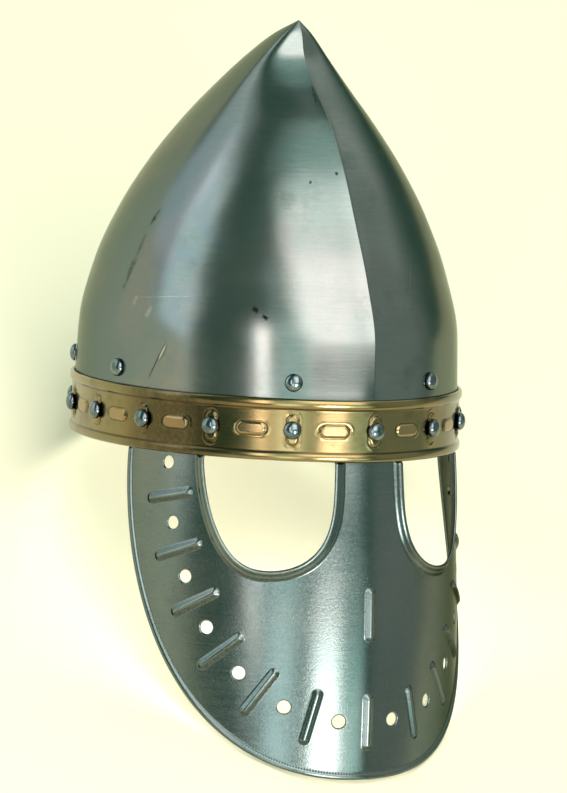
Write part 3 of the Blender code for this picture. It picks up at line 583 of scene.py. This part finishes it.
def eye_edge(hand, away=0.0):
    """The U of an eye opening, two quarters of unlike powers, from its nose side to its temple side."""
    turn = np.linspace(0.0, math.pi / 2.0, EYE_POINTS)
    quarters = []
    sides = ((-EYE_TO_NOSE, NOSE_SIDE_POWERS), (EYE_TO_TEMPLE, TEMPLE_SIDE_POWERS))
    for reach, (side_power, drop_power) in sides:
        quarters.append(np.stack([EYE_SIDE + reach * np.cos(turn) ** (2.0 / side_power),
                                  -EYE_DROP * np.sin(turn) ** (2.0 / drop_power)], axis=-1))
    line = np.concatenate([quarters[0], quarters[1][::-1][1:]])
    line = np.concatenate([[(line[0, 0], EYE_TOP)], line, [(line[-1, 0], EYE_TOP)]])
    line = beside(evenly(line, CURVE_STEP), -away)
    line[[0, -1], 1] = EYE_TOP + away
    return line * (hand, 1.0)


def stations():
    """Places and outward directions of the row of ribs and holes, from the chin to one temple."""
    line = mask_edge(ROW_INSET)
    line = line[(line[:, 0] >= 0.0) & (line[:, 1] < 0.0)]
    along = np.concatenate([[0.0], np.cumsum(np.linalg.norm(np.diff(line, axis=0), axis=1))])
    outward = np.gradient(line, axis=0)
    outward = np.stack([outward[:, 1], -outward[:, 0]], axis=-1)
    outward /= np.linalg.norm(outward, axis=1)[:, None]
    wanted = np.arange(2 * RIB_PAIRS + 2) * ROW_PITCH
    places = np.stack([np.interp(wanted, along, line[:, k]) for k in (0, 1)], axis=-1)
    ways = np.stack([np.interp(wanted, along, outward[:, k]) for k in (0, 1)], axis=-1)
    places[-1] = line[int(np.argmin(np.abs(line[:, 1] + TOP_HOLE_DROP)))]
    return places, ways


STATIONS, STATION_WAYS = stations()
MIRRORED = (np.array([1.0, 1.0]), np.array([-1.0, 1.0]))
HOLES = [place * hand for place in STATIONS[1::2] for hand in MIRRORED]
RIBS = [(np.array([0.0, -NOSE_RIB[0]]), np.array([0.0, 1.0]), NOSE_RIB[1]),
        (STATIONS[0] * (0.0, 1.0), np.array([0.0, 1.0]), RIB_LENGTH)]
RIBS += [(place * hand, way * hand, RIB_LENGTH)
         for place, way in zip(STATIONS[2:-1:2], STATION_WAYS[2:-1:2]) for hand in MIRRORED]
EDGE_LINE = evenly(mask_edge(), EDGE_LINE_STEP)
EYE_LINES = [evenly(eye_edge(hand), EYE_LINE_STEP) for hand in (-1.0, 1.0)]


def rib_bar(middle, way, length):
    """Middle line of a rib."""
    return np.array([middle - way * (length - RIB_WIDTH) / 2.0, middle + way * (length - RIB_WIDTH) / 2.0])


def streaks(distances, rows):
    """The sum of share * exp(-((distance - middle) / width) ^ 2) over the rows of a table."""
    return sum(share * np.exp(-((distances[path] - middle) / width) ** 2)
               for path, middle, width, share in rows)


def mask_faces(places):
    """Outer and inner points of the plate at its flat places, and their detail, from -1 pale to 1 dark: pale
    crests, worn and also a painted highlight, painted shade in the creases, and tarnish near the edge.  The
    bulge is a parabola down to BULGE_DROP, and lips, tented ribs and the half-round roll are added to it.
    The distance from a rib counts in half widths of a rib."""
    side, drop = places.T
    below = np.minimum(drop, 0.0)
    bulge = MASK_BULGE * (1.0 - (1.0 + below / BULGE_DROP) ** 2)
    fade = np.clip((SKULL_LIFT - drop) / (SKULL_LIFT + LIP_FADE), 0.0, 1.0)
    eyes = np.minimum(*(away_from(places, line) for line in EYE_LINES))
    lip = LIP_PROUD * fade * np.interp(eyes, LIP_PROFILE[:, 0], LIP_PROFILE[:, 1])
    ribs = np.min([away_from(places, rib_bar(*rib)) for rib in RIBS], axis=0) / (RIB_WIDTH / 2.0)
    tent = RIB_PROUD * np.clip(1.0 - (np.hypot(ribs, RIB_CREST) - RIB_CREST) / RIB_FOOT, 0.0, 1.0)
    edge = away_from(places, EDGE_LINE)
    roll = ROLL_PROUD * fade * half_round(edge + ROLL_START, ROLL_WIDTH)
    proud = bulge + np.maximum(lip, tent)
    outer = on_brow(side, MASK_OUTER - proud - roll, drop)
    inner = on_brow(side, MASK_OUTER + MASK_WALL - proud + ROLL_INSIDE * roll, drop)
    distances = {"eyes": eyes, "edge": edge, "ribs": ribs}
    # Painted shade, with some grime, in the creases beside the ribs, the lips and the roll.
    crease_shade = np.clip(streaks(distances, CREASE_SHADE_ROWS), 0.0, 1.0) * fade
    aged = AGED_SHARE * np.exp(-(edge / AGED_WIDTH) ** 2) * fade
    # Paler crests: wear, and also a painted highlight on the lips, the roll and the ribs.
    return outer, inner, np.maximum(crease_shade, aged) - streaks(distances, WORN_HIGHLIGHT_ROWS) * fade


def within(places, loop):
    """Whether each place is inside a loop: whether an odd number of the loop's sides lie to its right."""
    (ax, ay), (bx, by) = loop.T, np.roll(loop, -1, axis=0).T
    x, y = places[:, :1], places[:, 1:]
    crosses = (ay > y) != (by > y)
    crossing = (bx - ax) * (y - ay) / np.where(ay == by, 1.0, by - ay) + ax
    return (crosses & (x < crossing)).sum(axis=1) % 2 == 1


def wound(loop, clockwise):
    """The loop turned to run clockwise or the other way."""
    x, y = loop.T
    turns_left = (x * np.roll(y, -1) - y * np.roll(x, -1)).sum() > 0.0
    return loop[::-1] if turns_left == clockwise else loop


def ring(middle, radius, corners):
    """Corners of a circle."""
    turn = np.arange(corners) * 2.0 * math.pi / corners
    return np.asarray(middle) + radius * np.stack([np.cos(turn), np.sin(turn)], axis=-1)


def rib_ring(middle, way, length, away, step):
    """A loop at one distance round a rib's middle line."""
    turn = np.linspace(-math.pi / 2.0, math.pi / 2.0, CAP_POINTS)
    across = np.array([-way[1], way[0]])
    cap = away * (np.cos(turn)[:, None] * way + np.sin(turn)[:, None] * across)
    low, high = rib_bar(middle, way, length)
    return evenly(np.concatenate([high + cap, low - cap, high[None] + cap[:1]]), step)[:-1]


# The triangles keep to the borders, which are cut through, and to rows of points laid along the roll, the
# lips, the ribs and the holes.  Even rows fill the rest.
EDGE_SPACING = 0.0014
EYE_SPACING = 0.0010
LIP_SPACING = 0.0011
RIB_SPACING = 0.0012
HOLE_CORNERS = 28
ROLL_INSETS = (0.0013, 0.0019, 0.0026, 0.0032, 0.0036, 0.0043)
LIP_AWAYS = (0.0014, 0.0021, 0.0028, 0.0037, 0.0046, 0.0055, 0.0063)
RIB_AWAYS = (0.0009, 0.0018, 0.0027, 0.0034)
HOLE_AWAY = 0.0008
TOP_POINTS, EYE_TOP_POINTS = 120, 50
outline = evenly(mask_edge(EDGE_ROUND), EDGE_SPACING)
top_sides = np.linspace(outline[-1, 0], outline[0, 0], TOP_POINTS)[1:-1]
outline = np.concatenate([outline, np.column_stack([top_sides, np.full(len(top_sides), outline[0, 1])])])
borders = [wound(outline, False)]
for hand in (-1.0, 1.0):
    eye = evenly(eye_edge(hand, EDGE_ROUND), EYE_SPACING)
    borders.append(wound(np.concatenate([eye, np.linspace(eye[-1], eye[0], EYE_TOP_POINTS)[1:-1]]), True))
borders += [wound(ring(hole, HOLE_RADIUS + EDGE_ROUND, HOLE_CORNERS), True) for hole in HOLES]
laid = [evenly(mask_edge(inset), EDGE_SPACING) for inset in ROLL_INSETS]
laid += [evenly(eye_edge(hand, away), LIP_SPACING) for hand in (-1.0, 1.0) for away in LIP_AWAYS]
for rib in RIBS:
    laid += [evenly(rib_bar(*rib), EYE_SPACING)]
    laid += [rib_ring(*rib, away, RIB_SPACING) for away in RIB_AWAYS]
laid += [ring(hole, HOLE_RADIUS + EDGE_ROUND + HOLE_AWAY, HOLE_CORNERS) for hole in HOLES]

GRID = 0.0022
GRID_ROW = 0.866
RIB_CLEAR, LIP_CLEAR, EDGE_CLEAR, HOLE_CLEAR = 0.0044, 0.0073, 0.0053, 0.0026
BORDER_CLEAR, TOP_CLEAR = 0.0003, 0.0006
widest = math.ceil(MASK_HALF / GRID)
lowest, highest = (math.ceil(reach / (GRID * GRID_ROW)) for reach in (MASK_DROP, MASK_LAP))
across, level = np.meshgrid(np.arange(-widest, widest + 1), np.arange(-lowest, highest + 1))
fill = np.stack([(across + 0.5 * (level % 2)) * GRID, level * GRID * GRID_ROW], axis=-1).reshape(-1, 2)
clear = np.min([away_from(fill, rib_bar(*rib)) for rib in RIBS], axis=0) > RIB_CLEAR
clear &= np.min([away_from(fill, line) for line in EYE_LINES], axis=0) > LIP_CLEAR
clear &= away_from(fill, EDGE_LINE) > EDGE_CLEAR
clear &= np.min([np.hypot(*(fill - hole).T) for hole in HOLES], axis=0) > HOLE_RADIUS + HOLE_CLEAR


def in_plate(places):
    """Whether each place is inside the outer border and outside every opening."""
    kept = within(places, borders[0])
    for border in borders[1:]:
        kept &= ~within(places, border)
    return kept


loose = np.concatenate([*laid, fill[clear]])
apart = np.min([away_from(loose, np.concatenate([b, b[:1]])) for b in borders], axis=0) >= BORDER_CLEAR
loose = loose[in_plate(loose) & apart & (loose[:, 1] < outline[0, 1] - TOP_CLEAR)]
starts = np.cumsum([0] + [len(b) for b in borders])
border_runs = [np.arange(first, last) for first, last in zip(starts[:-1], starts[1:])]
border_edges = [(int(a), int(b)) for run in border_runs for a, b in zip(run, np.roll(run, -1))]
corners = [Vector(p) for p in np.concatenate([*borders, loose])]
made = delaunay_2d_cdt(corners, border_edges, [], 0, 1e-8, True)
flat = np.array([tuple(v) for v in made[0]])
made_from = np.array([old[0] if old else -1 for old in made[3]])
triangles = np.array([tuple(f) for f in made[2] if len(f) == 3])
triangles = triangles[in_plate(flat[triangles].mean(axis=1))]
a, b, c = (flat[triangles[:, k]] for k in range(3))
turned = (b[:, 0] - a[:, 0]) * (c[:, 1] - a[:, 1]) < (b[:, 1] - a[:, 1]) * (c[:, 0] - a[:, 0])
triangles[turned] = triangles[turned][:, ::-1]
used, triangles = np.unique(triangles, return_inverse=True)
triangles = triangles.reshape(-1, 3)
flat, made_from = flat[used], made_from[used]

# Each place becomes an outer and an inner point, whose directions are taken from its neighbours a NUDGE away.
# Faces that look down are darkened, a painted shade.  Along every border a half-round edge of EDGE_STEPS
# faces joins the sheets.
NUDGE = 0.00012
DOWN_START, DOWN_RANGE = 0.12, 0.30
DETAIL_SHARE, DOWN_SHADE = 0.7, 0.9
outer, inner, detail = mask_faces(flat)
right, left, up, down = (mask_faces(flat + np.array(shift) * NUDGE)
                         for shift in ((1, 0), (-1, 0), (0, 1), (0, -1)))
outer_way = np.cross(right[0] - left[0], up[0] - down[0])
inner_way = -np.cross(right[1] - left[1], up[1] - down[1])
outer_way /= np.linalg.norm(outer_way, axis=1)[:, None]
inner_way /= np.linalg.norm(inner_way, axis=1)[:, None]
across_way, up_way = right[0] - left[0], up[0] - down[0]
# Painted shade: faces of the plate that look down are darkened through its detail.
faces_down = np.clip((-outer_way[:, 2] - DOWN_START) / DOWN_RANGE, 0.0, 1.0)
detail = np.clip(DETAIL_SHARE * detail + DOWN_SHADE * faces_down, -1.0, 1.0)
number = len(flat)
mask_points, mask_ways = [outer, inner], [outer_way, inner_way]
mask_lay = [np.column_stack([flat, detail])] * 2
mask_face_sets = [triangles, triangles[:, ::-1] + number]
place_of = np.full(starts[-1] + len(loose), -1)
place_of[made_from[made_from >= 0]] = np.flatnonzero(made_from >= 0)
total = 2 * number
for run, border in zip(border_runs, borders):
    at = place_of[run]
    along = np.roll(border, -1, axis=0) - np.roll(border, 1, axis=0)
    out = np.stack([along[:, 1], -along[:, 0]], axis=-1) / np.linalg.norm(along, axis=1)[:, None]
    middle, half = (outer[at] + inner[at]) / 2.0, (outer[at] - inner[at]) / 2.0
    thick = np.linalg.norm(half, axis=1)[:, None]
    # void is the border's outward direction in space, made square to the sheet's thickness.
    void = out[:, :1] * across_way[at] + out[:, 1:] * up_way[at]
    void -= (void * half).sum(1)[:, None] * half / thick ** 2
    void /= np.linalg.norm(void, axis=1)[:, None]
    previous = at
    for step in range(1, EDGE_STEPS):
        turn = math.pi * step / EDGE_STEPS
        mask_points.append(middle + half * math.cos(turn) + void * EDGE_ROUND * math.sin(turn))
        mask_ways.append(half / thick * math.cos(turn) + void * math.sin(turn))
        mask_lay.append(np.column_stack([border, np.zeros(len(border))]))
        current = total + np.arange(len(border))
        total += len(border)
        mask_face_sets.append(joined(current, previous))
        previous = current
    mask_face_sets.append(joined(at + number, previous))
mask = add_piece("face_plate", np.concatenate(mask_points), mask_face_sets, np.concatenate(mask_lay),
                 ["face_mask"], np.concatenate(mask_ways))
# The plate's steel is darker than the bowl's: painted shade for the darker surroundings that the plate
# reflects.
mask.data.materials.append(steel(
    "plate_steel", cool=(0.105, 0.140, 0.137), warm=(0.150, 0.162, 0.158), dark=(0.07, 0.09, 0.082),
    roughness=0.23, grain=0.60, edge_tint=(0.30, 0.31, 0.26)).material)

# Rivets.  Domed heads of dark polished steel, sixteen through the band and bowl and seven through the bowl
# alone.  Each ends in a flat head inside, where the shank was hammered down.
RIVET_HEAD = 0.0092
RIVET_HEIGHT = 0.0032
RIVET_SKIRT = 0.0004
RIVET_CORNERS = 36
DOME_RINGS = 11
DOME_START = 0.06
FOOT_SHADE_RISE = 0.0009
SHANK = 0.0036
INNER_HEAD = (0.0064, 0.0010)
CLEARANCE = 0.0003
SKULL_RIVET_LIFT = 0.0080
SKULL_RIVET_SHARES = (-0.349, -0.224, -0.0625, 0.0625, 0.224, 0.349, 0.5)
rivet_finish = Finish("rivet_dark_steel")
cloud = rivet_finish.noise(260.0, 4.0, 0.6)
fine = rivet_finish.noise(1800.0, 2.0, 0.6)
tone = rivet_finish.mix(rivet_finish.ramp(cloud, 0.38, 0.66), rgb(0.09, 0.12, 0.13), rgb(0.19, 0.215, 0.225))
# Painted shade: the head is dark at its foot, where it meets the sheet.
tone = rivet_finish.mix(rivet_finish.ramp(rivet_finish.detail, 0.3, 1.0) * 0.8, tone, rgb(0.02, 0.022, 0.02))
rivet_finish.feed(Base_Color=tone, Roughness=0.17 + 0.14 * (cloud - 0.5),
                  Normal=rivet_finish.bump(fine, 0.00004, 0.2, rivet_finish.bump(cloud, 0.0004, 0.16)))


def add_rivet(name, node, seat, outward, grip):
    """A profile turned about the rivet's axis: a dome, r = radius * sin(t) and z = height * cos(t) over a low
    skirt, then the shank and a flat inner head with a rounded corner."""
    turn = np.linspace(DOME_START, math.pi / 2.0, DOME_RINGS)
    rise = RIVET_HEIGHT - RIVET_SKIRT
    dome = np.stack([RIVET_HEAD / 2.0 * np.sin(turn), RIVET_SKIRT + rise * np.cos(turn)], axis=-1)
    inner, thick = INNER_HEAD[0] / 2.0, INNER_HEAD[1]
    rest = [(RIVET_HEAD / 2.0, 0.0), (SHANK / 2.0, 0.0), (SHANK / 2.0, -grip), (inner, -grip),
            (0.96 * inner, -grip - 0.6 * thick), (0.7 * inner, -grip - thick)]
    profile = np.concatenate([dome, rest])[::-1]
    around = np.arange(RIVET_CORNERS) * 2.0 * math.pi / RIVET_CORNERS
    across = np.cross((0.0, 0.0, 1.0), outward)
    across /= np.linalg.norm(across)
    upward = np.cross(outward, across)
    spokes = np.cos(around)[:, None] * across + np.sin(around)[:, None] * upward
    points = seat + profile[:, :1, None] * spokes + profile[:, 1:, None] * outward
    ends = np.stack([seat - outward * (grip + thick), seat + outward * RIVET_HEIGHT])
    rows, columns = points.shape[:2]
    faces = [lattice(rows, columns), fan(np.arange(columns) + (rows - 1) * columns, rows * columns + 1),
             fan(np.arange(columns), rows * columns)[:, ::-1]]
    points = np.concatenate([points.reshape(-1, 3), ends])
    # Painted shade: the head darkens towards its foot, where it meets the sheet.
    foot_shade = np.repeat(np.clip(1.0 - profile[:, 1] / FOOT_SHADE_RISE, 0.0, 1.0), columns)
    lay = np.zeros((len(points), 3))
    lay[:len(foot_shade), 2] = foot_shade
    piece = add_piece(name, points, faces, lay, [node])
    piece.data.set_sharp_from_angle(angle=math.radians(40.0))
    piece.data.materials.append(rivet_finish.material)


# A rivet points along the cross product of the sheet's directions, read from places PROBE away.  The one at
# the nape has no place past it, so that place mirrors the one before.
PROBE = 0.001
for k in range(RIVET_COUNT):
    side = (k if k <= RIVET_COUNT // 2 else k - RIVET_COUNT) * RIVET_STEP
    spots = on_brow(side + np.array([0.0, -PROBE, PROBE]), -BOSS_PROUD - CLEARANCE, BAND_HEIGHT / 2.0)
    outward = np.cross(spots[2] - spots[1], (0.0, 0.0, 1.0))
    grip = SKULL_OUTER + SKULL_WALL + BOSS_PROUD + 2.0 * CLEARANCE
    grip += (CLEARANCE + MASK_WALL) if abs(side) < MASK_HALF - RIVET_HEAD / 2.0 else 0.0
    add_rivet(f"band_rivet_head_{k + 1:02d}", f"band_rivet_{k + 1:02d}", spots[0],
              outward / np.linalg.norm(outward), grip)
for k, share in enumerate(SKULL_RIVET_SHARES, 1):
    side, height = share * BROW_LENGTH * (1.0 - 1e-9), BAND_HEIGHT + SKULL_RIVET_LIFT
    spots = bowl_point(side + np.array([0.0, -PROBE, PROBE, 0.0]), height + np.array([0.0, 0.0, 0.0, PROBE]))
    if share == 0.5:
        spots[2] = spots[1] * (-1.0, 1.0, 1.0)
    outward = np.cross(spots[2] - spots[1], spots[3] - spots[0])
    outward /= np.linalg.norm(outward)
    add_rivet(f"bowl_rivet_head_{k:02d}", f"skull_rivet_{k:02d}", spots[0] + CLEARANCE * outward, outward,
              SKULL_WALL + 2.0 * CLEARANCE)

# Studio.  A pale cream floor under the helmet, soft panels in front and above, and a camera at the
# photograph's angle.  The panels' places are told from the helmet's own front, before it is leaned back.
CAMERA_AZIMUTH, CAMERA_ELEVATION, CAMERA_ROLL = (math.radians(v) for v in (-27.89, 5.97, 2.09))
CAMERA_DISTANCE = 2.4


def toward(azimuth, elevation):
    """Direction from the level helmet: azimuth from its nose to its left, and elevation, in radians."""
    return np.array([math.sin(azimuth) * math.cos(elevation), -math.cos(azimuth) * math.cos(elevation),
                     math.sin(elevation)])


def aim(thing, azimuth, elevation, roll, place):
    """Put a camera or light at a place, looking back along a direction, turned by a roll."""
    back = toward(azimuth, elevation)
    right = np.array([math.cos(azimuth), math.sin(azimuth), 0.0])
    upward = np.cross(back, right)
    across = right * math.cos(roll) + upward * math.sin(roll)
    axes = leaned(np.stack([across, np.cross(back, across), back]), (0.0, 0.0, 0.0))
    thing.matrix_world = Matrix.Translation(leaned(place)) @ Matrix(axes.T.tolist()).to_4x4()
    bpy.context.scene.collection.objects.link(thing)


camera_data = bpy.data.cameras.new("camera")
camera_data.sensor_width = 36.0
camera_data.lens = 206.5
camera_data.shift_x = 0.0242
camera_data.shift_y = 0.0512
camera_data.clip_end = 50.0
camera = bpy.data.objects.new("camera", camera_data)
aim(camera, CAMERA_AZIMUTH, CAMERA_ELEVATION, CAMERA_ROLL,
    CAMERA_DISTANCE * toward(CAMERA_AZIMUTH, CAMERA_ELEVATION))
bpy.context.scene.camera = camera

WARM, COOL, TEAL = (1.0, 0.94, 0.90), (0.90, 0.99, 1.0), (0.68, 1.0, 0.92)
PANELS = (
    # name, azimuth, elevation, width, height, soft edge, brightness, colour
    ("front_panel", -7.0, 30.0, 36.0, 47.0, 0.30, 4.5, WARM),
    ("top_panel", 10.0, 64.0, 44.0, 22.0, 0.50, 0.90, TEAL),
    ("cheek_strip", -49.8, 9.0, 6.0, 28.0, 0.50, 8.4, WARM),
    ("chin_panel", -35.5, -14.5, 13.0, 21.0, 0.40, 3.9, COOL),
    ("between_panel", -33.0, 14.0, 18.0, 42.0, 0.50, 1.35, TEAL),
    ("nose_strip", -9.5, -16.5, 15.0, 20.0, 0.25, 17.0, WARM),
    ("chin_front", 9.0, -15.0, 18.0, 18.0, 0.30, 2.8, TEAL),
    ("right_panel", 57.0, 26.0, 58.0, 90.0, 0.35, 0.36, WARM),
    ("rear_panel", 108.0, 55.0, 50.0, 40.0, 0.40, 0.60, WARM),
    ("side_panel", -101.5, 20.0, 24.0, 64.0, 0.20, 2.1, COOL),
    ("ear_panel", -135.0, 42.0, 34.0, 50.0, 0.40, 1.1, COOL),
)
# Angles are in degrees.  Each panel is three lights, one behind the other and each larger than the last by a
# share of its soft edge, so that its mirror image fades at the edge.
PANEL_DISTANCE = 2.8
LAYER_GAP = 0.01
LAYERS = np.array([-0.67, 0.0, 0.67])
for name, azimuth, elevation, width, height, soft, brightness, colour in PANELS:
    azimuth, elevation = math.radians(azimuth), math.radians(elevation)
    for layer, grown in enumerate(1.0 + soft * LAYERS):
        light = bpy.data.lights.new(f"{name}_{layer}", "AREA")
        light.shape = "RECTANGLE"
        light.size = 2.0 * PANEL_DISTANCE * math.tan(math.radians(grown * width / 2.0))
        light.size_y = 2.0 * PANEL_DISTANCE * math.tan(math.radians(grown * height / 2.0))
        light.energy = brightness / len(LAYERS) * math.pi * light.size * light.size_y
        light.color = colour
        place = (PANEL_DISTANCE + LAYER_GAP * layer) * toward(azimuth, elevation)
        aim(bpy.data.objects.new(light.name, light), azimuth, elevation, 0.0, place)

# A large lamp behind the helmet brightens the floor without showing in the steel.  Two small ones stand for
# the light that a floor throws up inside the bowl and behind the chin of the face plate.
light = bpy.data.lights.new("floor_light", "AREA")
light.size = 3.6
light.energy = 48.0
light.color = (1.0, 0.985, 0.95)
floor_light = bpy.data.objects.new("floor_light", light)
floor_light.visible_glossy = False
floor_light.location = (0.5, 2.2, 3.0)
floor_light.rotation_euler = (math.radians(-22.0), 0.0, 0.0)
bpy.context.scene.collection.objects.link(floor_light)
INNER_LIGHTS = (
    # name, place, energy
    ("under_light", (0.0, 0.020, 0.13), 0.34),
    ("chin_light", (0.0, -0.075, -0.06), 0.16),
)
for name, place, energy in INNER_LIGHTS:
    light = bpy.data.lights.new(name, "AREA")
    light.size = 0.10
    light.energy = energy
    light.color = (0.98, 1.0, 0.88)
    inner_light = bpy.data.objects.new(name, light)
    inner_light.location = leaned(place).tolist()
    inner_light.visible_camera = False
    inner_light.visible_glossy = False
    bpy.context.scene.collection.objects.link(inner_light)

bpy.context.scene.view_settings.view_transform = "Standard"
world = bpy.data.worlds.new("studio")
world.use_nodes = True
world.node_tree.nodes["Background"].inputs["Color"].default_value = rgb(0.125, 0.26, 0.195)
bpy.context.scene.world = world

FLOOR_HALF, FLOOR_DROP = 6.0, 0.0003
floor_corners = [(x * FLOOR_HALF, y * FLOOR_HALF, -FLOOR_DROP)
                 for x, y in ((-1, -1), (1, -1), (1, 1), (-1, 1))]
floor_mesh = bpy.data.meshes.new("floor")
floor_mesh.from_pydata(floor_corners, [], [(0, 1, 2, 3)])
floor = bpy.data.objects.new("floor", floor_mesh)
bpy.context.scene.collection.objects.link(floor)
floor_material = bpy.data.materials.new("pale_floor")
floor_material.use_nodes = True
floor_shader = floor_material.node_tree.nodes["Principled BSDF"]
floor_shader.inputs["Base Color"].default_value = rgb(0.77, 0.72, 0.54)
floor_shader.inputs["Roughness"].default_value = 0.9
floor_shader.inputs["Specular IOR Level"].default_value = 0.0
floor_mesh.materials.append(floor_material)
